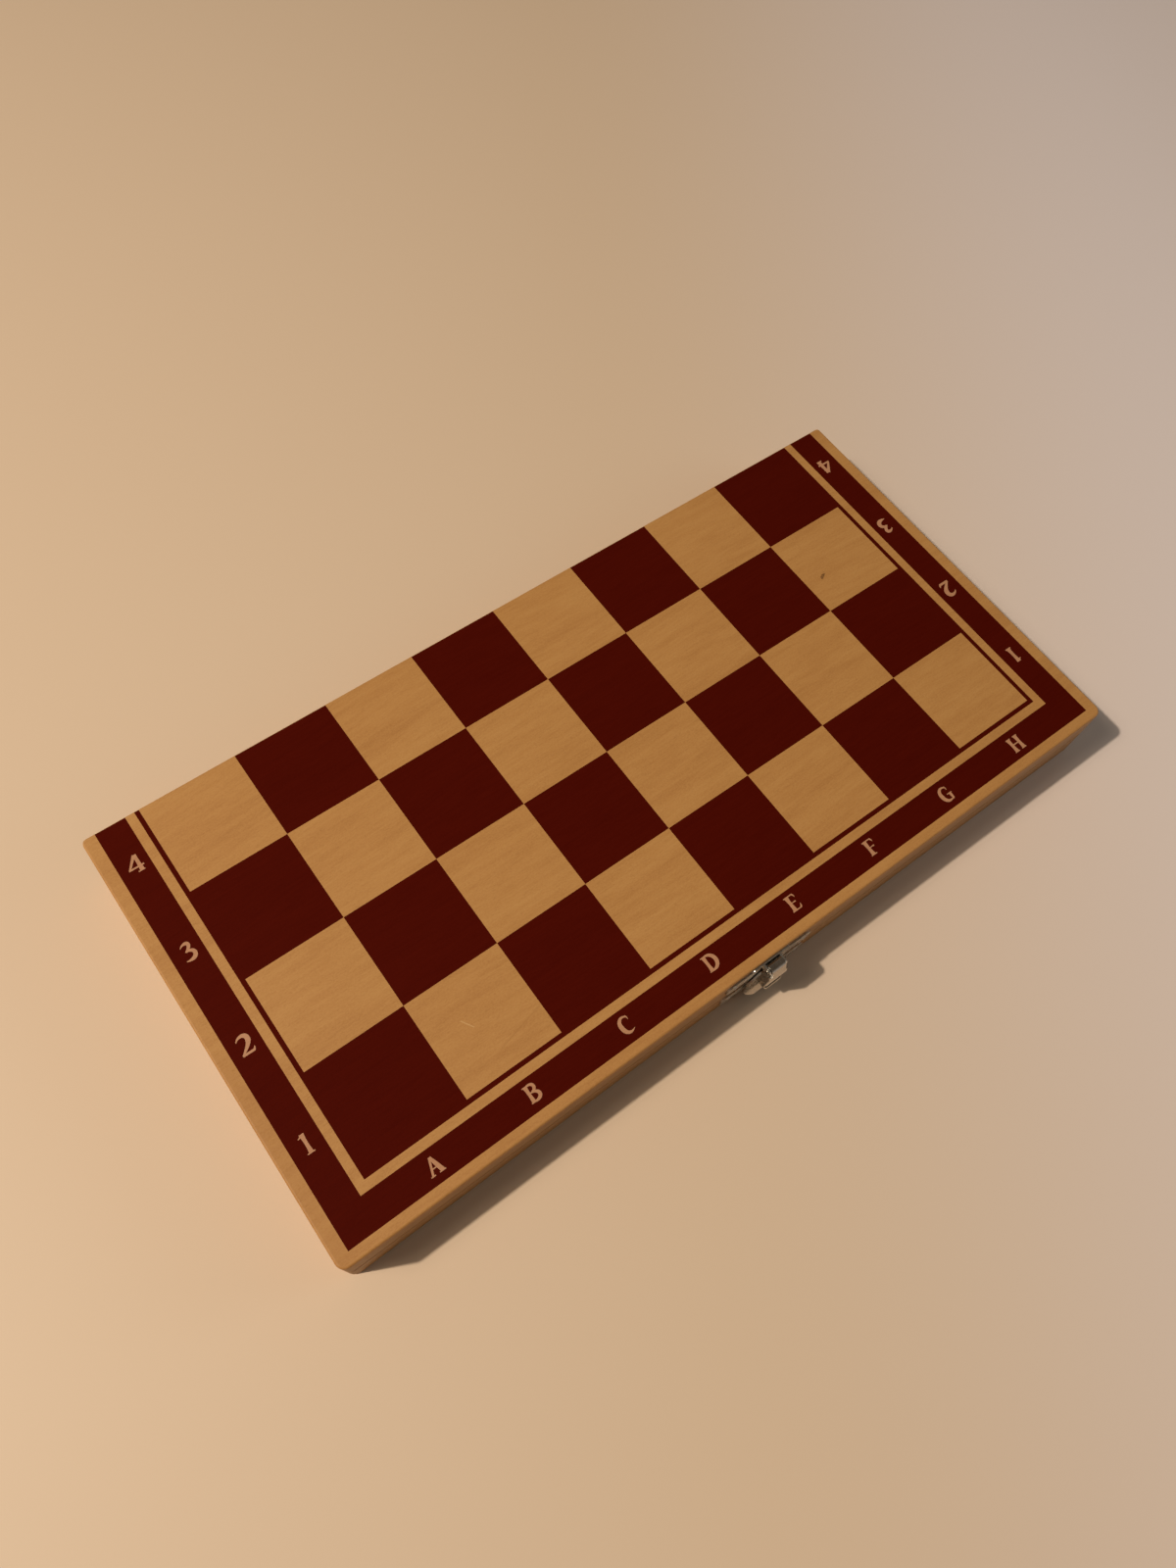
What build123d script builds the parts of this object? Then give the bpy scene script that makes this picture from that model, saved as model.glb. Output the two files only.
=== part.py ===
"""Folding wooden case that opens into a square chess board and a backgammon board.

Two shallow trays are hinged along one long edge. Closed, they make a flat box with half of the
chess board on its top and the other half on its underside, and a hasp on the front holds it shut.
Opened flat, the inside shows the backgammon points.

Row frame, in millimetres: X runs along the fold from file A to file H, Y from the front with the
hasp to the back with the hinges, Z up. The origin is the centre of the closed case's underside.
"""
from build123d import *
import math
import os

# Case
board_side = 290.0                  # the open board's side along the fold
open_gap = 0.3                      # between the two back faces when it lies open
half_height = 12.5                  # one tray, from its panel to its rim
rim_gap = 0.4                       # between the two rims when the case is shut
panel_thickness = 3.0
rail_thickness = 8.0
front_corner_radius = 2.9           # the rounded upright corners at the front
back_corner_radius = 2.0            # the rounded upright corners at the fold
edge_radius = 0.7                   # the rounded edge all along the front and the ends
rim_chamfer = 0.3                   # the eased outer edge of each rim
fold_chamfer = 0.25                 # the eased edge along the fold

# Printed chess board, from the squares outwards
squares_along = 8
squares_deep = 4
line_width = 1.5                    # dark line that frames the squares
bare_width = 2.9                    # bare wood between that line and the lettered band
band_width = 9.6                    # dark band that carries the letters and numbers
end_border = 4.36                   # bare wood from the band to each end
front_border = 3.5                  # bare wood from the band to the front
print_depth = 0.12                  # the print lies in the panel, flush with it
corner_cut = 0.05                   # dark squares meet at corners cut by this much

# Printed backgammon points
points_across = 6
point_length = 108.0
point_gap = 0.7                     # between the bases of neighbouring points
outline_width = 0.9                 # the line that draws a light point
field_margin = 2.4                  # from the rails to the frame line and from it to the points
field_line = 1.0

# Butt hinges
hinge_length = 25.0
hinge_offset = 88.0                 # from the middle of the case to the middle of each hinge
leaf_depth = 6.6                    # from the pin's axis to the leaf's free edge
leaf_thickness = 0.8
knuckle_radius = 1.6
knuckles = 5
knuckle_gap = 0.15                  # between neighbouring knuckles along the pin
hinge_pin_radius = 0.7
hinge_pin_play = 0.05
leaf_relief = 0.25                  # room round the other leaf's knuckles
screw_spacing = 14.0
screw_inset = 4.2                   # from the pin's axis to the row of screws
screw_head_radius = 1.5
screw_core_radius = 0.75
screw_length = 6.5                  # below the head
screw_slot = 0.35
head_sides = 16                     # the heads of screws and nails are prisms, and so are their shanks
shank_sides = 8

# Hasp
plate_width = 33.0
plate_thickness = 0.6
wing_radius = 3.15                  # the rounded ends of both plates
plate_middle_width = 15.0
plate_corner_radius = 1.5
upper_plate_top = 1.5               # depth below the case's top
upper_plate_bottom = 12.0
upper_wing_depth = 5.6              # depth of the wings' middle line
lower_plate_top = 12.9
lower_plate_bottom = 22.0
lower_wing_depth = 16.6
nail_inset = 3.15                   # from a wing's tip to its nail
nail_dome = [(1.15, 0.0), (0.95, 0.22), (0.45, 0.36)]  # the radius of a nail's head at each height
nail_shank_radius = 0.5
nail_length = 5.3                   # behind the front face
flap_axis_out = 2.6                 # from the front face to the hasp's pin
flap_axis_depth = 3.0               # from the case's top to the hasp's pin
flap_knuckle_radius = 1.8
flap_knuckle_width = 5.2
flap_shoulder_depth = 4.6           # where the flap widens below the ears
flap_width = 6.9
flap_sheet = 0.6
flap_pin_radius = 0.6
flap_pin_play = 0.05
flap_pin_end = 0.3                  # how far the pin stands out of each ear
ear_gap = 0.15                      # between the flap's knuckle and each ear
ear_thickness = 0.6
ear_radius = 1.3
hood_out = 5.4                      # how far the flap's hood stands out at its shoulder
hood_shoulder_depth = 5.7
hood_shoulder_radius = 2.0
hood_waist_out = 4.8                # how far its lower end stands out
hood_bottom_depth = 14.2
hood_hollow_depth = 5.3             # where the hollow behind the hood starts
hood_corner_radius = 0.9
hood_side_out = 4.2                 # edges of the hood further out than this are rounded
hood_lip_out = 5.35
hood_lip_chamfer = (0.2, 0.35)      # off the top and the front of the lip below the hood
back_sheet_out = 1.0                # from the front face to the flap's back sheet
back_sheet_depth = 4.0              # where the back sheet leaves the knuckle
paddle_width = 15.8
paddle_neck_depth = 7.0             # where the flap starts to widen
paddle_shoulder_depth = 12.2        # where it has widened to the paddle
paddle_shoulder_radius = 3.0
paddle_corner_radius = 5.2
paddle_end_depth = 22.8
paddle_curl_depth = 17.6            # where the paddle starts to curl outwards
paddle_curl_out = 1.9
paddle_curl_middle = 0.53           # how far the curl has come out half way down
paddle_lip_rise = 0.15              # how much the curled end leans
window_top_depth = 12.3
window_bottom_depth = 14.3
window_half_width = 2.7
catch_half_width = 2.2
catch_out = 3.8
catch_thickness = 0.6
catch_nose_radius = 1.6

same_place = 0.01                   # points nearer to each other than this count as one

# Worked out from the dimensions above
case_height = 2 * half_height + rim_gap
seam = case_height / 2
side = board_side / 2
frame_width = line_width + bare_width + band_width
square = (board_side - 2 * (frame_width + end_border)) / squares_along
front_margin = frame_width + front_border
half_depth = front_margin + squares_deep * square - open_gap / 2
front = -half_depth / 2
back = half_depth / 2
first_row = front + front_margin                 # the front edge of the first row of squares
hinge_axis_y = back + open_gap / 2
hinge_places = {"left": -hinge_offset, "right": hinge_offset}
to_upper = Plane.XY.offset(seam)                 # the upper tray mirrors the lower one in this plane

os.makedirs("parts", exist_ok=True)
pieces = {}


def block(low, high):
    """A box between two opposite corners."""
    size = [b - a for a, b in zip(low, high)]
    middle = [(a + b) / 2 for a, b in zip(low, high)]
    return Pos(*middle) * Box(*size)


def rod_x(radius, start, end, y, z):
    """A round bar along X."""
    return Pos((start + end) / 2, y, z) * Rot(0, 90, 0) * Cylinder(radius, end - start)


def on_front(face, inner, outer):
    """Give a shape drawn as X and height its thickness, from one distance out to another."""
    plane = Plane(origin=(0, front - inner, 0), x_dir=(1, 0, 0), z_dir=(0, -1, 0))
    return extrude(plane * face, outer - inner)


def frustum(plane, start_radius, end_radius, height):
    """A low many-sided frustum with flat faces that stands on a plane."""
    rings = []
    for radius, rise in ((start_radius, 0.0), (end_radius, height)):
        turns = [2 * math.pi * side / head_sides for side in range(head_sides)]
        local = [(radius * math.cos(turn), radius * math.sin(turn), rise) for turn in turns]
        rings.append([plane.from_local_coords(point) for point in local])
    outlines = list(rings)
    for side in range(head_sides):
        low, high = rings
        outlines.append([low[side - 1], low[side], high[side], high[side - 1]])
    return Solid(Shell([Face(Wire.make_polygon(outline)) for outline in outlines]))


def add(name, *solids):
    """Keep a node as one solid, or as a group of separate solids."""
    parts = [s for shape in solids for s in shape.solids()]
    pieces[name] = parts[0] if len(parts) == 1 else Compound(children=parts)


def mirrored(shape):
    """The same shape on the upper tray."""
    return shape.mirror(to_upper)


def case_outline():
    """The case seen from above, with its two front corners rounded."""
    corners = Polyline((-side, back), (-side, front), (side, front), (side, back), close=True)
    face = make_face(corners)
    rounded = [v for v in face.vertices() if v.Y < 0]
    return fillet(rounded, front_corner_radius)


def fold_corners():
    """What the rounding of the two upright corners at the fold takes off a tray."""
    r = back_corner_radius
    offcuts = []
    for x in (-side, side):
        inwards = -1 if x > 0 else 1
        corner = Pos(x + inwards * r / 2, back - r / 2) * Rectangle(r, r)
        offcuts.append(extrude(corner - Pos(x + inwards * r, back - r) * Circle(r), half_height))
    return offcuts


def tray_panel():
    """The thin panel under the lower tray, before its prints are let in."""
    panel = extrude(case_outline(), panel_thickness)
    underside = panel.faces().sort_by(Axis.Z)[0]
    outer = [e for e in underside.edges() if e.center().Y < back - 1]
    panel = fillet(outer, edge_radius)
    fold_edge = panel.edges().filter_by(Axis.X).filter_by_position(Axis.Y, back - 0.01, back + 0.01)
    return chamfer(fold_edge.sort_by(Axis.Z)[0], fold_chamfer)


def tray_rails():
    """The four mitred rails of the lower tray, by name."""
    offcuts = fold_corners()
    inside = Rectangle(board_side - 2 * rail_thickness, half_depth - 2 * rail_thickness)
    height = half_height - panel_thickness
    ring = Pos(0, 0, panel_thickness) * extrude(case_outline() - inside, height)
    rim = ring.faces().sort_by(Axis.Z)[-1]
    ring = chamfer([e for e in rim.outer_wire().edges() if e.center().Y < back - 1], rim_chamfer)
    far, near = side - rail_thickness, back - rail_thickness
    wedges = {
        "front": [(-side, -back), (side, -back), (far, -near), (-far, -near)],
        "back": [(-side, back), (-far, near), (far, near), (side, back)],
        "left": [(-side, -back), (-far, -near), (-far, near), (-side, back)],
        "right": [(side, -back), (side, back), (far, near), (far, -near)],
    }
    rails = {}
    for name, corners in wedges.items():
        face = make_face(Polyline(*corners, close=True))
        rails[name] = ring & extrude(face, half_height)
        if name != "front":
            rails[name] -= offcuts
    return rails


def u_strip(inner, width):
    """A strip along the front and both ends, open at the fold, this far outside the squares."""
    reach = squares_along * square / 2 + inner
    outer = reach + width
    start = first_row - inner - width
    whole = Pos(0, (start + back) / 2) * Rectangle(2 * outer, back - start)
    hollow_start = first_row - inner
    hollow = Pos(0, (hollow_start + back) / 2) * Rectangle(2 * reach, back - hollow_start)
    return whole - hollow


def chess_print():
    """Everything dark on one outer face: half of the squares, the line and the lettered band."""
    dark = []
    for file in range(squares_along):
        for rank in range(squares_deep):
            if (file + rank) % 2 == 0:
                x = (file + 0.5 - squares_along / 2) * square
                y = first_row + (rank + 0.5) * square
                face = Pos(x, y) * Rectangle(square, square)
                dark.append(chamfer(face.vertices(), corner_cut))
    lines = u_strip(0, line_width) + u_strip(line_width + bare_width, band_width)
    face_limit = Pos(0, -fold_chamfer) * Rectangle(board_side, half_depth)
    return extrude((lines + dark) & face_limit, print_depth)


def swapped_squares(shape):
    """The lower tray carries ranks eight to five, so its light and dark squares change places."""
    return shape.mirror(Plane.YZ)


def point_print():
    """The backgammon points of one tray: dark and outlined ones in turn, from both ends."""
    half_x = side - rail_thickness - field_margin
    half_y = back - rail_thickness - field_margin
    frame = Rectangle(2 * half_x, 2 * half_y)
    frame -= Rectangle(2 * (half_x - field_line), 2 * (half_y - field_line))
    base = half_x - field_line - field_margin / 2
    pitch = 2 * (half_y - field_line - field_margin / 2) / points_across
    width = pitch - point_gap
    drawn = [frame]
    for end in (-1, 1):
        for place in range(points_across):
            y = (place + 0.5 - points_across / 2) * pitch
            corners = [
                (end * base, y - width / 2),
                (end * base, y + width / 2),
                (end * (base - point_length), y),
            ]
            point = make_face(Polyline(*corners, close=True))
            if (place + (end > 0)) % 2:
                point -= offset(point, -outline_width, kind=Kind.INTERSECTION)
            drawn.append(point)
    return [extrude(face, print_depth) for face in drawn]


def knuckle_stretches(turn):
    """Where the knuckles of one leaf lie along the pin: turn 0 for the lower leaf, 1 for the upper."""
    pitch = hinge_length / knuckles
    starts = [-hinge_length / 2 + k * pitch for k in range(knuckles)]
    return [(s + knuckle_gap / 2, s + pitch - knuckle_gap / 2) for s in starts[turn::2]]


def screw_places(x):
    """The screws of a leaf, as points on its face."""
    y = hinge_axis_y - screw_inset
    return [(x - screw_spacing / 2, y), (x + screw_spacing / 2, y)]


def screw_head(x, y):
    """The countersunk head of a screw, which is also its seat in a leaf."""
    face = Plane(origin=(x, y, half_height), x_dir=(1, 0, 0), z_dir=(0, 0, -1))
    return frustum(face, screw_head_radius, screw_core_radius, leaf_thickness)


def hinge_leaf(x, turn):
    """One leaf of a butt hinge in the lower tray's place, with its knuckles rolled round the pin."""
    low_z = half_height - leaf_thickness
    slab = block(
        (x - hinge_length / 2, hinge_axis_y - leaf_depth, low_z),
        (x + hinge_length / 2, hinge_axis_y, half_height),
    )
    notch_start = hinge_axis_y - knuckle_radius - leaf_relief
    for start, end in knuckle_stretches(1 - turn):
        slab -= block(
            (x + start - knuckle_gap, notch_start, low_z),
            (x + end + knuckle_gap, hinge_axis_y, half_height),
        )
    leaf = slab
    for start, end in knuckle_stretches(turn):
        leaf += rod_x(knuckle_radius, x + start, x + end, hinge_axis_y, seam)
    bore = hinge_pin_radius + (hinge_pin_play if turn else 0)
    leaf -= rod_x(bore, x - hinge_length, x + hinge_length, hinge_axis_y, seam)
    for place in screw_places(x):
        leaf -= screw_head(*place)
    return leaf


def screw(x, y):
    """A countersunk slotted screw, driven down into the lower tray's back rail."""
    bottom = half_height - leaf_thickness - screw_length
    shank = Pos(x, y, bottom) * extrude(RegularPolygon(screw_core_radius, shank_sides), screw_length)
    slot = Pos(x, y, half_height) * Box(2 * screw_head_radius, screw_slot, screw_slot)
    return screw_head(x, y) + shank - slot


def hinge_mortise(x):
    """What a leaf, its knuckles and its screws take out of a lower back rail."""
    reach = knuckle_radius + leaf_relief
    pocket = block(
        (x - hinge_length / 2, hinge_axis_y - leaf_depth, half_height - leaf_thickness),
        (x + hinge_length / 2, hinge_axis_y, half_height),
    )
    end = hinge_length / 2 + leaf_relief
    groove = rod_x(reach, x - end, x + end, hinge_axis_y, seam)
    holes = [screw(*place) for place in screw_places(x)]
    return [pocket, groove, *holes]


def plate_outline(top, bottom, wing):
    """A hasp plate seen from the front: a rounded middle with a lobe at each end."""
    middle = Pos(0, case_height - (top + bottom) / 2) * RectangleRounded(
        plate_middle_width, bottom - top, plate_corner_radius
    )
    reach = plate_width - 2 * wing_radius
    lobes = Pos(0, case_height - wing) * SlotCenterToCenter(reach, 2 * wing_radius)
    return middle + lobes


def nail_places():
    """How far the plates' nails lie from the middle."""
    reach = plate_width / 2 - nail_inset
    return (-reach, reach)


def nail_holes(depth):
    """The nails' shanks, and the holes for them in a plate and in the rail behind it."""
    height = case_height - depth
    faces = [Pos(x, height) * RegularPolygon(nail_shank_radius, shank_sides) for x in nail_places()]
    return [on_front(face, -nail_length, plate_thickness) for face in faces]


def nails(depth):
    """Two domed nails that hold a plate."""
    made = []
    for x, nail in zip(nail_places(), nail_holes(depth)):
        for (radius, rise), (next_radius, next_rise) in zip(nail_dome, nail_dome[1:]):
            centre = (x, front - plate_thickness - rise, case_height - depth)
            plane = Plane(origin=centre, x_dir=(1, 0, 0), z_dir=(0, -1, 0))
            nail += frustum(plane, radius, next_radius, next_rise - rise)
        made.append(nail)
    return made


def ear(place):
    """One of the two lugs of the upper plate that carry the hasp's pin."""
    inner = place * (flap_knuckle_width / 2 + ear_gap)
    outer = inner + place * ear_thickness
    start, end = sorted((inner, outer))
    y, z = front - flap_axis_out, case_height - flap_axis_depth
    round_end = rod_x(ear_radius, start, end, y, z)
    web = block((start, y, z - ear_radius), (end, front, z + ear_radius))
    return round_end + web


def side_profile(points):
    """A face in the upright plane across the case, from points given as distance out and depth."""
    corners = [(0, front - out, case_height - depth) for out, depth in points]
    return make_face(Polyline(*corners, close=True))


def across(face, half_width):
    """Give a side profile its width, both ways from the middle."""
    return extrude(face, half_width, dir=(1, 0, 0), both=True)


def flap_at(out, depth):
    """A point in the upright plane across the case, from its distance out and its depth."""
    return Vector(0, front - out, case_height - depth)


def flap_hood():
    """The raised box of the flap: it slopes out from the knuckle to a round shoulder, and is open below."""
    half, t = flap_width / 2, flap_sheet
    outer = side_profile([
        (flap_axis_out + flap_knuckle_radius, flap_axis_depth),
        (hood_out, hood_shoulder_depth), (hood_waist_out, hood_bottom_depth),
        (back_sheet_out, hood_bottom_depth), (back_sheet_out, back_sheet_depth),
        (flap_axis_out, flap_axis_depth),
    ])
    outer = fillet(outer.vertices().sort_by(Axis.Y)[0], hood_shoulder_radius)
    inner = side_profile([
        (back_sheet_out + t, hood_hollow_depth), (hood_waist_out - t, hood_hollow_depth),
        (hood_waist_out - t, hood_bottom_depth + t), (back_sheet_out + t, hood_bottom_depth + t),
    ])
    shell = across(outer, half)
    outer_edges = shell.edges().filter_by_position(Axis.Y, front - hood_out, front - hood_side_out)
    shell = fillet([e for e in outer_edges if abs(e.center().X) > same_place], hood_corner_radius)
    lip = block(
        (-half, front - hood_lip_out, case_height - hood_bottom_depth),
        (half, front - hood_waist_out + t, case_height - hood_bottom_depth + t),
    )
    lip = fillet(lip.edges().filter_by(Axis.Z).sort_by(Axis.Y)[:2], hood_corner_radius)
    top = lip.faces().sort_by(Axis.Z)[-1]
    rim = [e for e in top.edges() if e.center().Y < front - hood_waist_out]
    lip = chamfer(rim, *hood_lip_chamfer, reference=top)
    return shell - across(inner, half - t) + lip


def flap_outline():
    """The flap's back sheet seen from the front: a neck that widens to a rounded paddle."""
    neck, wide = flap_width / 2, paddle_width / 2
    right_side = [
        (neck, back_sheet_depth), (neck, paddle_neck_depth),
        (wide, paddle_shoulder_depth), (wide, paddle_end_depth),
    ]
    around = right_side + [(-x, depth) for x, depth in reversed(right_side)]
    face = make_face(Polyline(*[(x, case_height - depth) for x, depth in around], close=True))
    ends = face.vertices().sort_by(Axis.Y)[:2]
    face = fillet(ends, paddle_corner_radius)
    shoulder_height = case_height - paddle_shoulder_depth
    shoulders = [v for v in face.vertices() if abs(v.Y - shoulder_height) < same_place]
    return fillet(shoulders, paddle_shoulder_radius)


def flap_back_sheet():
    """The sheet behind the hood, which curls outwards at the paddle's end."""
    out, t = back_sheet_out, flap_sheet
    middle_depth = (paddle_curl_depth + paddle_end_depth) / 2
    curl = ThreePointArc(
        flap_at(out, paddle_curl_depth),
        flap_at(out + paddle_curl_middle, middle_depth),
        flap_at(out + paddle_curl_out, paddle_end_depth),
    )
    outer_end = flap_at(out + paddle_curl_out + t, paddle_end_depth - paddle_lip_rise)
    outer_curl = ThreePointArc(
        outer_end,
        flap_at(out + paddle_curl_middle + t, middle_depth),
        flap_at(out + t, paddle_curl_depth),
    )
    edges = [
        Line(flap_at(out, back_sheet_depth), curl @ 0), curl, Line(curl @ 1, outer_end), outer_curl,
        Line(outer_curl @ 1, flap_at(out + t, back_sheet_depth)),
        Line(flap_at(out + t, back_sheet_depth), flap_at(out, back_sheet_depth)),
    ]
    return across(make_face(edges), paddle_width / 2) & on_front(flap_outline(), 0, hood_out)


def hasp_flap():
    """The pressed flap: rolled knuckle, raised hood, and a paddle that curls out at its end."""
    y, z = front - flap_axis_out, case_height - flap_axis_depth
    neck, half = flap_knuckle_width / 2, flap_width / 2
    sheet_front = front - back_sheet_out
    flap = flap_hood() + flap_back_sheet()
    for start, end in ((-half, -neck), (neck, half)):
        flap -= block(
            (start, front - hood_out, case_height - flap_shoulder_depth), (end, front, case_height)
        )
    window = block(
        (-window_half_width, sheet_front - flap_sheet, case_height - window_bottom_depth),
        (window_half_width, sheet_front, case_height - window_top_depth),
    )
    bore = rod_x(flap_pin_radius + flap_pin_play, -neck, neck, y, z)
    return rod_x(flap_knuckle_radius, -neck, neck, y, z) + flap - window - bore


def hasp_pin():
    """The pin through both ears and the flap's knuckle."""
    end = flap_knuckle_width / 2 + ear_gap + ear_thickness + flap_pin_end
    return rod_x(flap_pin_radius, -end, end, front - flap_axis_out, case_height - flap_axis_depth)


def catch_tongue():
    """The lower plate's tab, bent straight out, that reaches through the flap's window."""
    top = case_height - lower_plate_top
    tongue = block(
        (-catch_half_width, front - catch_out, top - catch_thickness),
        (catch_half_width, front, top),
    )
    nose = tongue.edges().filter_by(Axis.Z).sort_by(Axis.Y)[:2]
    return fillet(nose, catch_nose_radius)


# Trays, the lower one drawn and the upper one mirrored from it
rails = tray_rails()
latch_bed = {"upper": nail_holes(upper_wing_depth), "lower": nail_holes(lower_wing_depth)}
mortises = [cut for x in hinge_places.values() for cut in hinge_mortise(x)]
chess = chess_print()
points = point_print()
panel = tray_panel()
inner_face = Pos(0, 0, panel_thickness - print_depth)
lower_points = [inner_face * p for p in points]
lower_chess = swapped_squares(chess)
panel -= fold_corners()

add("lower_panel", panel - lower_chess - lower_points)
add("upper_panel", mirrored(panel - chess - lower_points))
add("lower_chess_print", lower_chess)
add("upper_chess_print", mirrored(chess))
add("lower_point_print", *lower_points)
add("upper_point_print", *[mirrored(p) for p in lower_points])
for name, rail in rails.items():
    lower, upper = rail, mirrored(rail)
    if name == "back":
        lower -= mortises
        upper -= [mirrored(cut) for cut in mortises]
    if name == "front":
        lower -= latch_bed["lower"]
        upper -= latch_bed["upper"]
    add(f"lower_{name}_rail", lower)
    add(f"upper_{name}_rail", upper)

# Hinges
for name, x in hinge_places.items():
    add(f"{name}_hinge_lower_leaf", hinge_leaf(x, 0))
    add(f"{name}_hinge_upper_leaf", mirrored(hinge_leaf(x, 1)))
    add(f"{name}_hinge_pin", rod_x(
        hinge_pin_radius, x - hinge_length / 2 + knuckle_gap / 2, x + hinge_length / 2 - knuckle_gap / 2,
        hinge_axis_y, seam,
    ))
    screws = [screw(*place) for place in screw_places(x)]
    add(f"{name}_hinge_lower_screws", *screws)
    add(f"{name}_hinge_upper_screws", *[mirrored(s) for s in screws])

# Hasp
upper_face = plate_outline(upper_plate_top, upper_plate_bottom, upper_wing_depth)
lower_face = plate_outline(lower_plate_top, lower_plate_bottom, lower_wing_depth)
upper_plate = on_front(upper_face, 0, plate_thickness) + [ear(-1), ear(1)]
upper_plate -= nail_holes(upper_wing_depth) + [hasp_pin()]
lower_plate = on_front(lower_face, 0, plate_thickness) + catch_tongue()
lower_plate -= nail_holes(lower_wing_depth)
add("hasp_upper_plate", upper_plate)
add("hasp_lower_plate", lower_plate)
add("hasp_upper_nails", *nails(upper_wing_depth))
add("hasp_lower_nails", *nails(lower_wing_depth))
add("hasp_pin", hasp_pin())
add("hasp_flap", hasp_flap())

for name, shape in pieces.items():
    export_step(shape, f"parts/{name}.step")
print(f"{len(pieces)} nodes, case {board_side:.1f} x {half_depth:.2f} x {case_height:.1f} mm")
print(f"square {square:.3f} mm, hinge axis y {hinge_axis_y:.3f} z {seam:.3f}")
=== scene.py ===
# %% [markdown]
# # A folding chess and backgammon board
# The object is a flat beech case, 29 cm long, made of two shallow trays that are hinged along the
# back. Half of a chess board is printed on its top in burgundy, the other half on its underside,
# and the points for backgammon inside. A small nickel hasp holds it shut at the front. The trays,
# the prints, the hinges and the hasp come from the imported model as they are. This script gives
# them their finishes and adds what is too fine for the model: the letters and numbers round the
# board.

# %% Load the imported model
import bpy
import numpy as np
from mathutils import Euler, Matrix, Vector
from mathutils.geometry import delaunay_2d_cdt


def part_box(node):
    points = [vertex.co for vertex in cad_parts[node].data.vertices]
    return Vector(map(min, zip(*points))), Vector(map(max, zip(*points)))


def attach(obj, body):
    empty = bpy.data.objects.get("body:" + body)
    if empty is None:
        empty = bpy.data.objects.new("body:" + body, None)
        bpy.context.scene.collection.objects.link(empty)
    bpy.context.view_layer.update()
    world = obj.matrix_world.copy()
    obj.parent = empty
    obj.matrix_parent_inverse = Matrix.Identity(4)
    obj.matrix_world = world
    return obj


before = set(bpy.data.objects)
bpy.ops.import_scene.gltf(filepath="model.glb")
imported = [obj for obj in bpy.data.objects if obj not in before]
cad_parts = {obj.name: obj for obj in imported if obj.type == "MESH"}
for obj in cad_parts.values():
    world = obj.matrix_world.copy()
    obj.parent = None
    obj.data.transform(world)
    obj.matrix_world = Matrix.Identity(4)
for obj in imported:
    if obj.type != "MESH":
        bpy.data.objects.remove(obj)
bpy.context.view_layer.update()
scene = bpy.context.scene

# %% [markdown]
# ## Sizes
# Every size below is either read from the model or is one of the board's own driving sizes. The
# printed field starts at the outer corner of square A1, and files and ranks are counted from there.

# %% Sizes from the model
mm = 0.001
case_low, case_high = (np.array(corner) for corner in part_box("upper_panel"))
case_top = case_high[2]
front = case_low[1]
square = 31.66 * mm
front_margin = 17.5 * mm             # from the front edge of the squares to the case's front
first_row = front + front_margin
files = 8
ranks = 4
print("case top at", round(case_top / mm, 2), "mm, front face at", round(front / mm, 2), "mm")


def board_point(file, rank):
    """A point of the board in metres, from files and ranks counted from the corner of A1."""
    return np.array([(file - files / 2) * square, first_row + rank * square])


# %% [markdown]
# ## Camera
# The photograph was taken by hand from about 35 cm above the table, looking down at a slant, with
# a wide lens. The place and the three turns come from lining the corners of the squares up with
# the photograph. The lens is stated for a 36 mm film side along the tall side of the picture.

# %% Camera at the photograph's angle
camera_place = Vector((-122.0, -106.7, 347.2)) * mm
camera_turn = Euler([np.radians(a) for a in (25.513, -4.205, -36.436)])
camera_lens = 26.6

lens = bpy.data.cameras.new("photo_lens")
lens.lens = camera_lens
lens.sensor_width = 36
camera = bpy.data.objects.new("photo_camera", lens)
camera.location = camera_place
camera.rotation_euler = camera_turn
scene.collection.objects.link(camera)
scene.camera = camera
scene.view_settings.view_transform = "Standard"

# %% [markdown]
# ## Shader expressions
# A procedural finish is a formula over the surface. Wrapping a socket in a small class lets the
# formula be written as Python arithmetic: every operator adds its Math node. All other nodes come
# from one method, so that a material reads as a list of steps.


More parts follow.
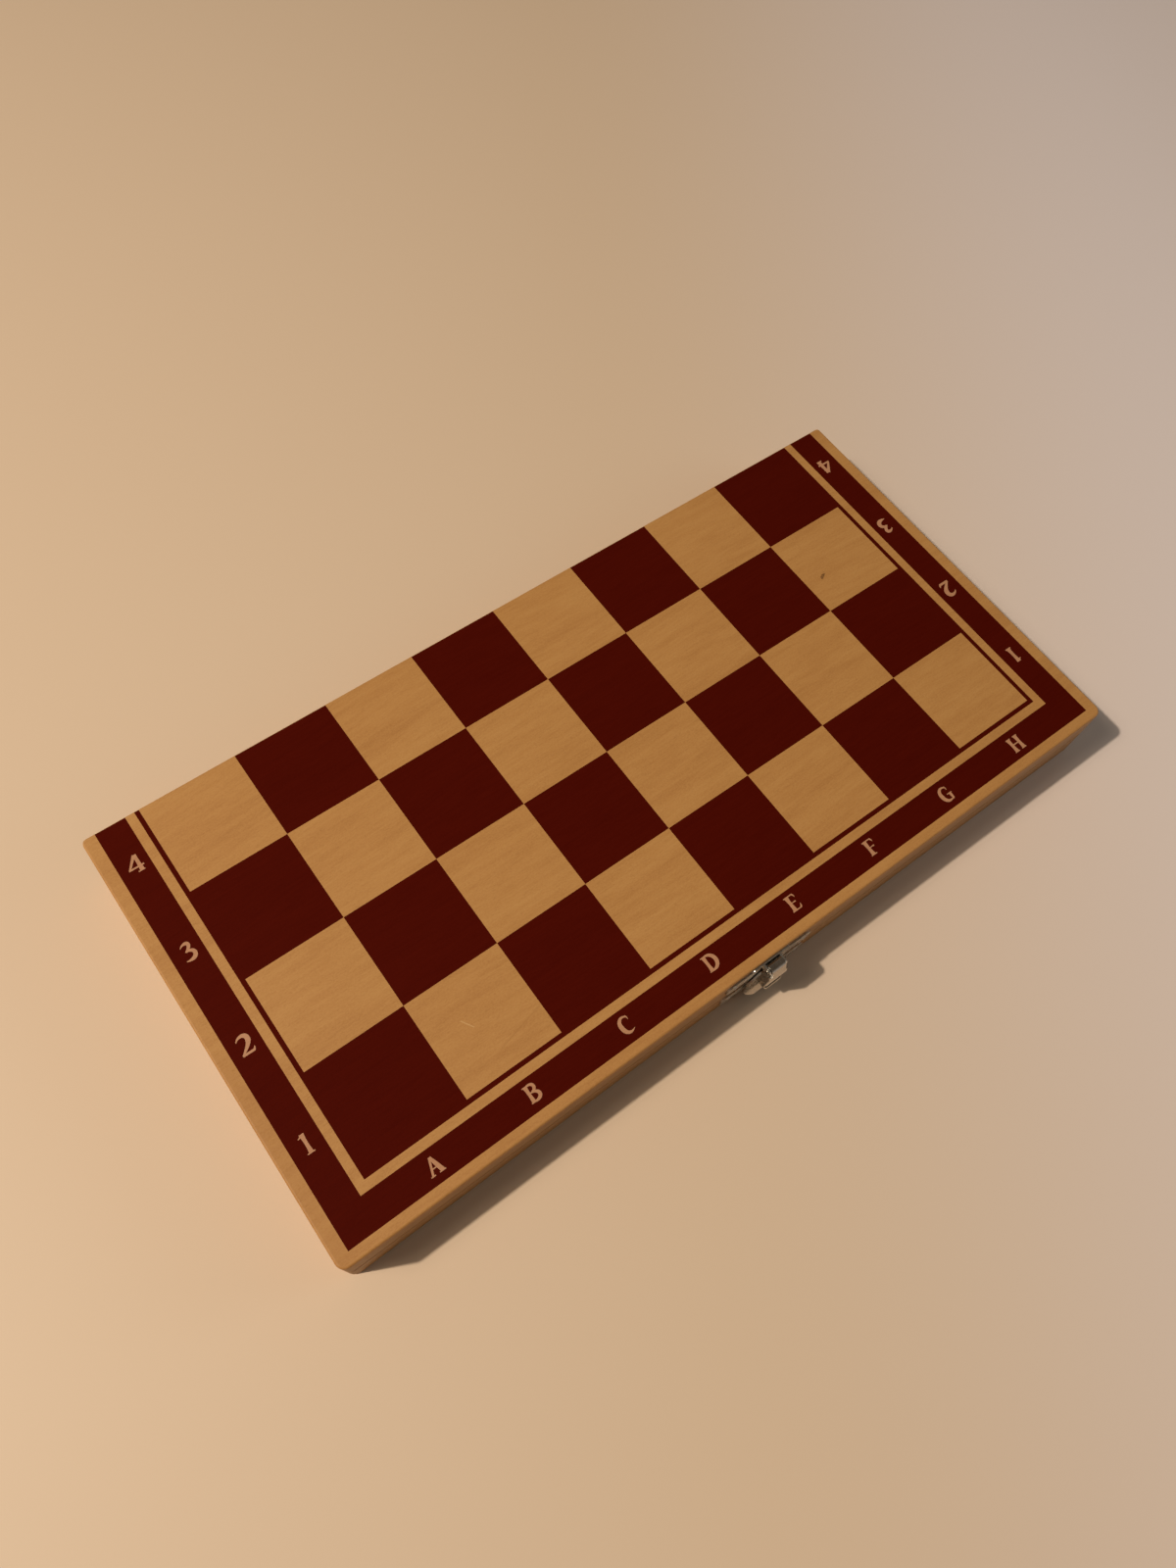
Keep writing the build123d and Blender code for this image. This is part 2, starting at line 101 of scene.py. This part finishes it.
# %% Shader expression class
class Shade:
    """A value in a material's node tree. Arithmetic on it adds Math nodes to the tree."""

    def __init__(self, tree, socket=None):
        self.tree = tree
        self.socket = socket

    def node(self, kind, settings=None, inputs=None, out=0):
        """Adds a node: its settings first, then the values or links of its sockets."""
        made = self.tree.nodes.new(kind)
        for name, value in (settings or {}).items():
            if name == "stops":
                self.fill_ramp(made.color_ramp, value)
            else:
                setattr(made, name, value)
        for name, value in (inputs or {}).items():
            if isinstance(value, Shade):
                self.tree.links.new(value.socket, made.inputs[name])
            else:
                made.inputs[name].default_value = value
        return Shade(self.tree, made.outputs[out])

    @staticmethod
    def fill_ramp(ramp, stops):
        """Gives a colour ramp its stops, as pairs of place and colour."""
        while len(ramp.elements) < len(stops):
            ramp.elements.new(1.0)
        for element, (place, colour) in zip(ramp.elements, stops):
            element.position = place
            element.color = (*colour, 1.0)

    def math(self, operation, *others):
        """A Math node on this value and others."""
        values = dict(enumerate((self, *others)))
        return self.node("ShaderNodeMath", {"operation": operation}, values)

    def __add__(self, other):
        return self.math("ADD", other)

    def __sub__(self, other):
        return self.math("SUBTRACT", other)

    def __rsub__(self, other):
        return self.math("MULTIPLY", -1.0).math("ADD", other)

    def __mul__(self, other):
        return self.math("MULTIPLY", other)

    __radd__ = __add__
    __rmul__ = __mul__

    def stretched(self, factors):
        """A vector with each of its numbers multiplied by its own factor."""
        return self.node("ShaderNodeVectorMath", {"operation": "MULTIPLY"}, {0: self, 1: factors})

    def noise(self, detail, roughness=0.5):
        """Soft noise between about 0.3 and 0.7, over this vector."""
        inputs = {"Vector": self, "Scale": 1.0, "Detail": detail, "Roughness": roughness}
        return self.node("ShaderNodeTexNoise", {"noise_dimensions": "3D"}, inputs)

    def step(self, low, high):
        """A smooth step from 0 at low to 1 at high."""
        settings = {"interpolation_type": "SMOOTHSTEP"}
        inputs = {"Value": self, "From Min": low, "From Max": high}
        return self.node("ShaderNodeMapRange", settings, inputs)

    def mix(self, first, second):
        """A colour between two others, by this value."""
        inputs = {0: self, 6: first, 7: second}          # 6 and 7 are the node's colour sockets
        return self.node("ShaderNodeMix", {"data_type": "RGBA"}, inputs, out=2)


def new_material(name):
    """An empty material with its shader, and the start of an expression on object coordinates."""
    material = bpy.data.materials.new(name)
    material.use_nodes = True
    tree = material.node_tree
    shader = tree.nodes["Principled BSDF"]
    place = Shade(tree).node("ShaderNodeTexCoord", out="Object")
    return material, shader, place


def connect(shader, **values):
    """Sets or links the sockets of a shader. An underscore in a name stands for a space."""
    for name, value in values.items():
        socket = shader.inputs[name.replace("_", " ")]
        if isinstance(value, Shade):
            value.tree.links.new(value.socket, socket)
        else:
            socket.default_value = value


def bump(height, distance):
    """A normal from a height, with its depth in metres."""
    return height.node("ShaderNodeBump", {}, {"Height": height, "Distance": distance})


# %% [markdown]
# ## Beech
# Beech is an even, pinkish-tan wood. From a step away it shows slow, faint streaks and a finer
# mottle along the grain. Close up it is finely speckled, with short flecks that are hardly darker
# than the wood round them. All of it is noise on coordinates that are squeezed more across the
# grain than along it. The panels and the long rails have their grain along X, and the short rails
# along Y. The rails, which make the case's sides, get darker and greyer tones than the panels as
# painted shade. Where the wood shows as a letter, a trace of ink in its pores turns it pinkish.
# The top has a small knot, a scratch, a dark vein, and painted shade that darkens its left border
# near the front. A clear satin lacquer lies over all of it.

# %% Beech material
panel_tones = [(0.368, 0.158, 0.043), (0.443, 0.206, 0.060), (0.494, 0.246, 0.077)]
# painted shade: the rails, which make the case's sides, get darker and greyer tones than the panels
shaded_rail_tones = [(0.328, 0.156, 0.052), (0.382, 0.190, 0.068), (0.422, 0.218, 0.083)]
letter_tones = [(0.392, 0.177, 0.085), (0.450, 0.213, 0.108), (0.495, 0.243, 0.132)]
fleck_colour = (0.27, 0.105, 0.024)
scratch_colour = (0.62, 0.37, 0.16)
knot_colour = (0.115, 0.045, 0.012)
beech_relief = 0.02 * mm

# How often each pattern repeats in a metre: along the grain, across it and through the board.
wander_rate = (6.0, 6.0, 6.0)
streak_rate = (5.0, 75.0, 75.0)
mottle_rate = (60.0, 420.0, 420.0)
fibre_rate = (110.0, 1300.0, 1300.0)
fleck_rate = (700.0, 3600.0, 3600.0)
speckle_rate = (1500.0, 2600.0, 2600.0)
knot_rate = (900.0, 900.0, 900.0)
wander_reach = 20 * mm               # how far the grain wanders sideways

marks = {                            # on the top: start, end, width, colour and strength
    "knot": (board_point(7.205, 2.375), board_point(7.265, 2.41), 1.35 * mm, knot_colour, 0.8),
    "scratch": (
        board_point(1.335, 0.592), board_point(1.40, 0.485), 0.42 * mm, scratch_colour, 0.5,
    ),
    "vein": (board_point(1.50, 0.19), board_point(1.99, 0.31), 0.7 * mm, fleck_colour, 0.2),
    # painted shade: darkens the top's left border near the front towards the deepest panel tone
    "handled border": (
        (case_low[0], front), (case_low[0], front + 2 * square), 13 * mm, panel_tones[0], 0.3,
    ),
}


def grain_fields(place, along):
    """Streaks, fibres, flecks and speckle of one piece of wood, each from 0 to 1."""
    turn = {"X": 0.0, "Y": np.pi / 2}[along]
    grain = place.node("ShaderNodeMapping", {}, {"Vector": place, "Rotation": (0, 0, turn)})
    wander = grain.stretched(wander_rate).noise(1.0) - 0.5
    aside = grain.node("ShaderNodeCombineXYZ", {}, {"X": 0.0, "Y": wander * wander_reach, "Z": 0.0})
    bent = grain.node("ShaderNodeVectorMath", {"operation": "ADD"}, {0: grain, 1: aside})
    streaks = bent.stretched(streak_rate).noise(4.0, 0.6).step(0.3, 0.7)
    mottle = bent.stretched(mottle_rate).noise(3.0, 0.6).step(0.3, 0.7)
    fibres = bent.stretched(fibre_rate).noise(3.0, 0.6).step(0.25, 0.75)
    flecks = bent.stretched(fleck_rate).noise(1.0).step(0.58, 0.74)
    speckle = grain.stretched(speckle_rate).noise(2.0, 0.6).step(0.3, 0.7)
    return 0.5 * streaks + 0.5 * mottle, fibres, flecks, speckle


def near_line(place, start, end, width):
    """1 within half a width of a line on the board's top, and 0 away from it."""
    a = Vector((*start, case_top))
    run = Vector((*end, case_top)) - a
    offset = place.node("ShaderNodeVectorMath", {"operation": "SUBTRACT"}, {0: place, 1: tuple(a)})
    along = place.node(
        "ShaderNodeVectorMath", {"operation": "DOT_PRODUCT"},
        {0: offset, 1: tuple(run / run.length_squared)}, out="Value",
    )
    share = along.node("ShaderNodeClamp", {}, {"Value": along})
    foot = share.node(
        "ShaderNodeVectorMath", {"operation": "SCALE"}, {"Vector": tuple(run), "Scale": share}
    )
    gap = place.node(
        "ShaderNodeVectorMath", {"operation": "DISTANCE"}, {0: offset, 1: foot}, out="Value"
    )
    return 1 - gap.step(0.25 * width, 0.5 * width)


def beech(name, along, tones, marked=False):
    """Lacquered beech, grained along X or Y, with tones from deep to pale and marks if asked."""
    material, shader, place = new_material(name)
    streaks, fibres, flecks, speckle = grain_fields(place, along)
    tone = 0.50 * streaks + 0.20 * fibres + 0.30 * speckle
    stops = list(zip((0.0, 0.5, 1.0), tones))
    colour = tone.node("ShaderNodeValToRGB", {"stops": stops}, {"Fac": tone})
    colour = (flecks * 0.16).mix(colour, (*fleck_colour, 1.0))
    if marked:
        for mark, (start, end, width, mark_colour, strength) in marks.items():
            share = near_line(place, start, end, width)
            if mark == "knot":
                share = share * place.stretched(knot_rate).noise(3.0).step(0.4, 0.55)
            colour = (share * strength).mix(colour, (*mark_colour, 1.0))
    roughness = 0.48 + 0.10 * fibres + 0.10 * flecks
    relief = bump(fibres * 0.5 - flecks, beech_relief)
    connect(
        shader, Base_Color=colour, Roughness=roughness, Normal=relief, Specular_IOR_Level=0.3
    )
    return material


# %% [markdown]
# ## Burgundy print
# The dark pattern is a film of ink on the wood. It is deep red and almost even, but the grain
# below shows through as a faint relief and as slight changes of gloss.

# %% Burgundy material
ink_deep = (0.054, 0.0027, 0.0006)
ink_light = (0.071, 0.0041, 0.0010)
ink_relief = 0.015 * mm


def burgundy(name):
    """Satin burgundy ink over beech."""
    material, shader, place = new_material(name)
    streaks, fibres, flecks, speckle = grain_fields(place, "X")
    tone = 0.35 * streaks + 0.35 * fibres + 0.3 * speckle
    colour = tone.mix((*ink_deep, 1.0), (*ink_light, 1.0))
    roughness = 0.46 + 0.10 * fibres + 0.08 * speckle
    relief = bump(fibres - flecks, ink_relief)
    connect(
        shader, Base_Color=colour, Roughness=roughness, Normal=relief, Specular_IOR_Level=0.02
    )
    return material


# %% [markdown]
# ## Metals
# The hasp is thin pressed steel with a bright nickel coat, so it mirrors the table and the dark
# room in hard-edged patches. Very fine scratches from tumbling make the mirror a little soft. The
# flat plates and the hinge leaves are more brushed than the flap, and the nails and screws are
# duller and darker.

# %% Metal materials
nickel_colour = (0.55, 0.50, 0.44)
plate_colour = (0.64, 0.60, 0.54)
screw_colour = (0.36, 0.33, 0.30)
worn_share = 0.82                    # how bright the worn metal is beside the fresh
scuff_rate = (1200.0, 300.0, 1200.0)
cloud_rate = (200.0, 200.0, 200.0)
scuff_relief = 0.006 * mm


def plated(name, colour, roughness, wear):
    """Plated metal: a base colour, its roughness, and how much fine wear softens it."""
    material, shader, place = new_material(name)
    scuffs = place.stretched(scuff_rate).noise(3.0, 0.6).step(0.35, 0.7)
    cloud = place.stretched(cloud_rate).noise(2.0).step(0.3, 0.7)
    worn = tuple(worn_share * c for c in colour)
    tint = (0.6 * cloud + 0.4 * scuffs).mix((*colour, 1.0), (*worn, 1.0))
    connect(
        shader, Base_Color=tint, Metallic=1.0, Roughness=roughness + wear * scuffs,
        Normal=bump(scuffs, scuff_relief),
    )
    return material


panel_beech = beech("beech_panel", "X", panel_tones, marked=True)
long_beech = beech("beech_long_rail_shaded", "X", shaded_rail_tones)
short_beech = beech("beech_short_rail_shaded", "Y", shaded_rail_tones)
letter_beech = beech("beech_letter", "X", letter_tones)
ink = burgundy("burgundy_ink")
nickel = plated("bright_nickel", nickel_colour, 0.16, 0.14)
plate_nickel = plated("plate_nickel", plate_colour, 0.27, 0.16)
screw_steel = plated("screw_steel", screw_colour, 0.30, 0.20)


def finish_for(node):
    """The material of a node, from its name."""
    if "panel" in node:
        return panel_beech
    if node.endswith("rail"):
        return short_beech if "left" in node or "right" in node else long_beech
    if "print" in node:
        return ink
    if "screws" in node or "nails" in node:
        return screw_steel
    return plate_nickel if "plate" in node or "leaf" in node else nickel


for name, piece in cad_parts.items():
    piece.data.materials.clear()
    piece.data.materials.append(finish_for(name))

# %% [markdown]
# ## Letters and numbers
# The letters A to H and the numbers are left bare in the burgundy band, so that the wood shows
# through. They are a bold face with flared ends, about 5 mm tall. Each is drawn with a few pen
# strokes: a Bezier curve for the stroke's middle and a second Bezier for its half width. The
# outlines of the strokes are then merged into one flat shape, with no overlaps. On the top most of
# them sit a little off the middle of their squares, as in the photograph. The numbers on the
# underside, 5 to 8, sit in the middle.

# %% Pen strokes
letter_height = 5.15 * mm
number_height = 5.75 * mm
letter_row = -8.95 * mm            # from the front edge of the squares to the letters' middle
number_column = 8.95 * mm          # from the end of the squares to the numbers' middle
lift = 0.02 * mm                   # the bare wood lies this far proud of the ink's film
curve_steps = 15                   # points along the middle of a curved stroke
straight_steps = 7                 # and of a straight one
stem_flare = 1.45                  # a stem's half width at its ends, as a share of the usual one
stem_waist = 0.8                   # and at the two inner points of the curve that shapes it
inside_only = 1                    # asks the triangulation for what lies inside the outlines
merge_distance = 1e-4              # points nearer to each other than this become one
usual_squeeze = 0.965              # how much narrower than drawn a glyph is laid down
squeezes = {"B": 0.93, "1": 0.82, "3": 0.84}
# How far each glyph stands off the middle of its square, in mm: the letters along the band and
# then upwards, the numbers outwards and then along the band.
letter_nudges = {
    "A": (-0.76, -0.10), "B": (-0.35, 0.09), "C": (0.04, 0.07), "D": (-0.09, 0.38),
    "E": (-0.11, 0.30), "F": (0.03, 0.13), "G": (0.47, -0.26), "H": (0.94, -0.33),
}
number_nudges = {
    "1": (0.17, -0.66), "2": (0.22, -0.20), "3": (0.03, 0.25), "4": (-0.11, 0.59),
}
weights = {"H": 1.12, "left": 1.12, "right": 1.34}     # how much bolder than drawn


def bezier(points, at):
    """A Bezier curve of any degree, by blending neighbours again and again, as whole arrays."""
    rows = [np.asarray(p, float) + np.zeros((len(at), len(np.atleast_1d(p)))) for p in points]
    t = at[:, None]
    while len(rows) > 1:
        rows = [(1 - t) * a + t * b for a, b in zip(rows, rows[1:])]
    return rows[0]


def pen_stroke(path, halves):
    """The outline of one stroke: its middle line moved sideways by its half width, both ways."""
    at = np.linspace(0, 1, curve_steps if len(path) > 2 else straight_steps)
    middle = bezier(path, at)
    run = np.gradient(middle, axis=0)
    run /= np.linalg.norm(run, axis=1)[:, None]
    sideways = np.stack([-run[:, 1], run[:, 0]], 1) * bezier(halves, at)
    return np.concatenate([middle - sideways, (middle + sideways)[::-1]])


def stem(x, half=0.10):
    """An upright stroke that flares towards both ends."""
    flare, waist = stem_flare * half, stem_waist * half
    return [(x, 0.0), (x, 1.0)], [flare, waist, waist, flare]


def bar(x0, x1, y, half=0.034):
    """A thin level stroke."""
    return [(x0, y), (x1, y)], [half, half]


arm_end = [(0.60, 0.955), (0.68, 0.93), (0.705, 0.74)], [0.05, 0.07, 0.012]
foot_end = [(0.60, 0.045), (0.69, 0.06), (0.73, 0.27)], [0.05, 0.07, 0.012]
round_left = [
    ([(0.70, 0.88), (0.44, 1.08), (0.08, 0.90), (0.13, 0.48)], [0.045, 0.05, 0.12, 0.135]),
    ([(0.13, 0.52), (0.12, 0.10), (0.42, -0.08), (0.77, 0.13)], [0.135, 0.14, 0.07, 0.015]),
    ([(0.66, 0.93), (0.73, 0.90), (0.725, 0.70)], [0.05, 0.05, 0.012]),
]
glyphs = {
    "A": (0.90, [
        ([(0.45, 0.96), (0.13, 0.03)], [0.06, 0.065]),
        ([(0.47, 0.96), (0.75, 0.03)], [0.08, 0.125, 0.13]),
        bar(0.25, 0.62, 0.36), bar(0.0, 0.29, 0.03, 0.03), bar(0.53, 0.92, 0.03, 0.03),
    ]),
    "B": (0.80, [
        stem(0.20), bar(0.0, 0.3, 0.965, 0.03), bar(0.02, 0.3, 0.035, 0.03),
        ([(0.25, 0.96), (0.82, 1.03), (0.80, 0.52), (0.28, 0.53)], [0.035, 0.11, 0.13, 0.025]),
        ([(0.28, 0.54), (0.92, 0.56), (0.90, -0.03), (0.22, 0.04)], [0.025, 0.13, 0.14, 0.04]),
    ]),
    "C": (0.79, round_left),
    "D": (0.90, [
        stem(0.20), bar(0.0, 0.3, 0.965, 0.03), bar(0.02, 0.3, 0.035, 0.03),
        ([(0.2, 0.955), (0.98, 1.06), (1.0, -0.04), (0.2, 0.045)], [0.035, 0.15, 0.16, 0.04]),
    ]),
    "E": (0.73, [
        stem(0.20, 0.11), bar(0.0, 0.64, 0.962), arm_end, bar(0.0, 0.64, 0.038), foot_end,
        ([(0.25, 0.52), (0.59, 0.52)], [0.025, 0.02, 0.055]),
    ]),
    "F": (0.70, [
        stem(0.20, 0.11), bar(0.0, 0.64, 0.962), arm_end, bar(0.01, 0.45, 0.03, 0.03),
        ([(0.25, 0.50), (0.62, 0.50)], [0.025, 0.02, 0.055]),
    ]),
    "G": (0.90, round_left + [
        ([(0.75, 0.42), (0.75, 0.05)], [0.10, 0.09, 0.07]), bar(0.52, 0.90, 0.445, 0.03),
        bar(0.45, 0.78, 0.05, 0.04),
    ]),
    "H": (0.97, [
        stem(0.18), stem(0.78), bar(0.0, 0.37, 0.967, 0.03), bar(0.60, 0.97, 0.967, 0.03),
        bar(0.0, 0.37, 0.033, 0.03), bar(0.60, 0.97, 0.033, 0.03), bar(0.2, 0.8, 0.51, 0.036),
    ]),
    "1": (0.51, [
        stem(0.29, 0.095), ([(0.0, 0.85), (0.33, 0.95)], [0.02, 0.05]),
        bar(0.04, 0.52, 0.028, 0.028),
    ]),
    "2": (0.73, [
        ([(0.05, 0.80), (0.24, 1.08), (0.78, 1.02), (0.60, 0.58)], [0.02, 0.06, 0.12, 0.115]),
        ([(0.62, 0.64), (0.55, 0.42), (0.30, 0.28), (0.06, 0.06)], [0.115, 0.09, 0.06, 0.04]),
        bar(0.02, 0.67, 0.055, 0.055),
        ([(0.62, 0.06), (0.70, 0.07), (0.735, 0.23)], [0.05, 0.055, 0.012]),
    ]),
    "3": (0.71, [
        ([(0.05, 0.82), (0.26, 1.08), (0.92, 0.98), (0.50, 0.60), (0.20, 0.52)],
         [0.02, 0.05, 0.16, 0.09, 0.02]),
        ([(0.24, 0.52), (0.86, 0.62), (0.86, -0.10), (0.01, 0.065)], [0.03, 0.12, 0.16, 0.02]),
    ]),
    "4": (0.86, [
        ([(0.60, 0.97), (0.05, 0.30)], [0.08, 0.045]), bar(0.0, 0.85, 0.295, 0.042),
        ([(0.625, 0.99), (0.625, 0.02)], [0.085, 0.075, 0.11]), bar(0.40, 0.78, 0.028, 0.028),
    ]),
    "5": (0.70, [
        ([(0.16, 0.96), (0.13, 0.50)], [0.035, 0.035]), bar(0.14, 0.66, 0.93, 0.06),
        ([(0.12, 0.52), (0.86, 0.76), (0.88, -0.12), (0.02, 0.07)], [0.03, 0.13, 0.16, 0.02]),
    ]),
    "6": (0.76, [
        ([(0.66, 0.96), (0.20, 0.92), (0.02, 0.40), (0.20, 0.14)], [0.015, 0.07, 0.14, 0.10]),
        ([(0.16, 0.24), (0.26, -0.02), (0.76, -0.08), (0.66, 0.40), (0.60, 0.66), (0.30, 0.58),
          (0.18, 0.42)],
         [0.10, 0.06, 0.13, 0.10, 0.06, 0.03, 0.02]),
    ]),
    "7": (0.72, [
        bar(0.02, 0.70, 0.92, 0.06), ([(0.06, 0.95), (0.03, 0.72)], [0.03, 0.012]),
        ([(0.66, 0.90), (0.42, 0.50), (0.34, 0.28), (0.30, 0.01)], [0.04, 0.06, 0.10, 0.10]),
    ]),
    "8": (0.74, [
        ([(0.36, 0.965), (0.02, 0.98), (0.04, 0.66), (0.36, 0.52), (0.76, 0.36), (0.80, 0.02),
          (0.38, 0.035)],
         [0.035, 0.05, 0.14, 0.09, 0.10, 0.13, 0.03]),
        ([(0.36, 0.965), (0.72, 0.99), (0.76, 0.62), (0.38, 0.52), (-0.06, 0.36), (-0.06, 0.02),
          (0.38, 0.035)],
         [0.035, 0.03, 0.07, 0.07, 0.06, 0.12, 0.03]),
    ]),
}


def glyph_shape(key, weight):
    """The points and triangles of one glyph, centred and one unit tall, with bolder strokes."""
    width, strokes = glyphs[key]
    outlines = [pen_stroke(path, np.array(halves) * weight) for path, halves in strokes]
    points = np.concatenate(outlines) - (width / 2, 0.5)
    ends = np.cumsum([len(outline) for outline in outlines])
    faces = [list(range(end - len(outline), end)) for outline, end in zip(outlines, ends)]
    corners, _, triangles, _, _, sources = delaunay_2d_cdt(
        [Vector(p) for p in points], [], faces, inside_only, merge_distance
    )
    covered = [triangle for triangle, strokes_there in zip(triangles, sources) if strokes_there]
    return np.array([tuple(corner) for corner in corners]), covered


def lettering(name, body, top, flip, places):
    """All glyphs of one outer face as one mesh: flip is 1 on the top and -1 on the underside."""
    points, faces, count = [], [], 0
    for key, centre, height, weight, turned in places:
        shape, triangles = glyph_shape(key, weight)
        shape = shape * (squeezes.get(key, usual_squeeze), 1.0) * height * (-1 if turned else 1)
        flat = np.array([1, flip]) * shape + np.array(centre)
        level = np.full(len(flat), top + flip * lift)
        points.append(np.column_stack([flat, level]))
        faces += [[count + i for i in (t if flip > 0 else t[::-1])] for t in triangles]
        count += len(flat)
    mesh = bpy.data.meshes.new(name)
    mesh.from_pydata(np.concatenate(points).tolist(), [], faces)
    mesh.materials.append(letter_beech)
    piece = bpy.data.objects.new(name, mesh)
    scene.collection.objects.link(piece)
    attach(piece, body)
    print(name, len(mesh.vertices), "points,", len(mesh.polygons), "faces")


def glyph_places(first_rank, flip):
    """Where each glyph of one face goes, how tall and bold it is, and if it is upside down."""
    places = []
    lower_face = flip < 0
    for file, letter in enumerate(letter_nudges):
        aside, up = np.array(letter_nudges[letter]) * mm
        x = (file + 0.5 - files / 2) * square + aside
        centre = (x, first_row + letter_row + up)
        places.append((letter, centre, letter_height, weights.get(letter, 1.0), lower_face))
    for row in range(ranks):
        number = str(first_rank + (ranks - 1 - row if lower_face else row))
        outwards, up = np.array(number_nudges.get(number, (0.0, 0.0))) * mm
        y = first_row + (row + 0.5) * square + up
        reach = files / 2 * square + number_column + outwards
        for end, weight, turned in ((-1, weights["left"], False), (1, weights["right"], True)):
            places.append((number, (end * reach, y), number_height, weight, turned))
    return places


# %% Lay the lettering on both outer faces
lettering("upper_lettering", "upper_half", case_top, 1, glyph_places(1, 1))
lettering("lower_lettering", "lower_half", 0.0, -1, glyph_places(5, -1))

# %% [markdown]
# ## Table and light
# The case lies on a pale table. One lamp stands where the photograph's does, to the left and a
# little behind, so that the shadow falls along the front and to the right. The lamp's shade glows
# round it, which softens both sides of the shadow's edge. A wide, weak and cool window light comes
# from the front right. The world is dim as a light, but seen or mirrored it has pale walls under a
# dark ceiling, which gives the metal its contrast.

# %% Floor
# painted light: the table's colour is warm where the lamp lights it and pales and cools towards the
# window
floor_lamp_lit = (0.66, 0.480, 0.335)       # towards the lamp
floor_window_lit = (0.78, 0.650, 0.610)       # towards the window
floor_run = (1.0, -0.6, 0.0)            # the way in which it pales
floor_pale_at = 0.34                    # how far out, in metres, it has paled
floor_reach = 3.0
floor_drop = 0.05 * mm                  # a little lower than the underside's lettering


def pale_table():
    """A pale satin table top whose colour holds painted light, paling towards the front right."""
    sides = ((-1, -1), (1, -1), (1, 1), (-1, 1))
    corners = [(x * floor_reach, y * floor_reach, -floor_drop) for x, y in sides]
    mesh = bpy.data.meshes.new("table_top")
    mesh.from_pydata(corners, [], [[0, 1, 2, 3]])
    material, shader, place = new_material("pale_table")
    towards = place.node(
        "ShaderNodeVectorMath", {"operation": "DOT_PRODUCT"}, {0: place, 1: floor_run},
        out="Value",
    )
    tint = towards.step(0.0, floor_pale_at).mix((*floor_lamp_lit, 1.0), (*floor_window_lit, 1.0))
    connect(shader, Base_Color=tint, Roughness=0.55, Specular_IOR_Level=0.3)
    mesh.materials.append(material)
    piece = bpy.data.objects.new("table_top", mesh)
    scene.collection.objects.link(piece)


pale_table()

# %% Lamp and world
lamp_place = Vector((-868.0, 285.0, 1228.0)) * mm
lamp_size = 50 * mm
lamp_power = 17.0
glow_size = 430 * mm
glow_power = 4.6
lamp_colour = (1.0, 0.925, 0.79)
window_place = Vector((760.0, -420.0, 420.0)) * mm
window_size = 420 * mm
window_power = 0.9
window_colour = (0.78, 0.95, 1.0)
world_fill = (0.118, 0.107, 0.091)
world_sky = [(0.0, (0.60, 0.55, 0.49)), (0.30, (0.26, 0.23, 0.20)), (0.65, (0.10, 0.078, 0.058))]


def lamp(name, place, size, power, colour, mirrored=True):
    """A round area light, aimed at the case, which metal mirrors or not."""
    light = bpy.data.lights.new(name, "AREA")
    light.shape = "DISK"
    light.size = size
    light.energy = power
    light.color = colour
    piece = bpy.data.objects.new(name, light)
    piece.location = place
    piece.rotation_euler = (-place).to_track_quat("-Z", "Y").to_euler()
    piece.visible_glossy = mirrored
    scene.collection.objects.link(piece)


def surroundings():
    """A dim even light; where the world is seen or mirrored, pale walls under a dark ceiling."""
    world = bpy.data.worlds.new("surroundings")
    world.use_nodes = True
    scene.world = world
    tree = world.node_tree
    rays = Shade(tree).node("ShaderNodeLightPath").socket.node.outputs
    seen = Shade(tree, rays["Is Camera Ray"]).math("MAXIMUM", Shade(tree, rays["Is Glossy Ray"]))
    seen = seen.math("MAXIMUM", Shade(tree, rays["Is Transmission Ray"]))
    direction = Shade(tree).node("ShaderNodeTexCoord", out="Generated")
    height = direction.node("ShaderNodeSeparateXYZ", {}, {"Vector": direction}, out="Z")
    sky = height.node("ShaderNodeValToRGB", {"stops": world_sky}, {"Fac": height})
    colour = seen.mix((*world_fill, 1.0), sky)
    tree.links.new(colour.socket, tree.nodes["Background"].inputs["Color"])


lamp("lamp", lamp_place, lamp_size, lamp_power, lamp_colour)
lamp("lamp_glow", lamp_place, glow_size, glow_power, lamp_colour, mirrored=False)
lamp("window", window_place, window_size, window_power, window_colour, mirrored=False)
surroundings()
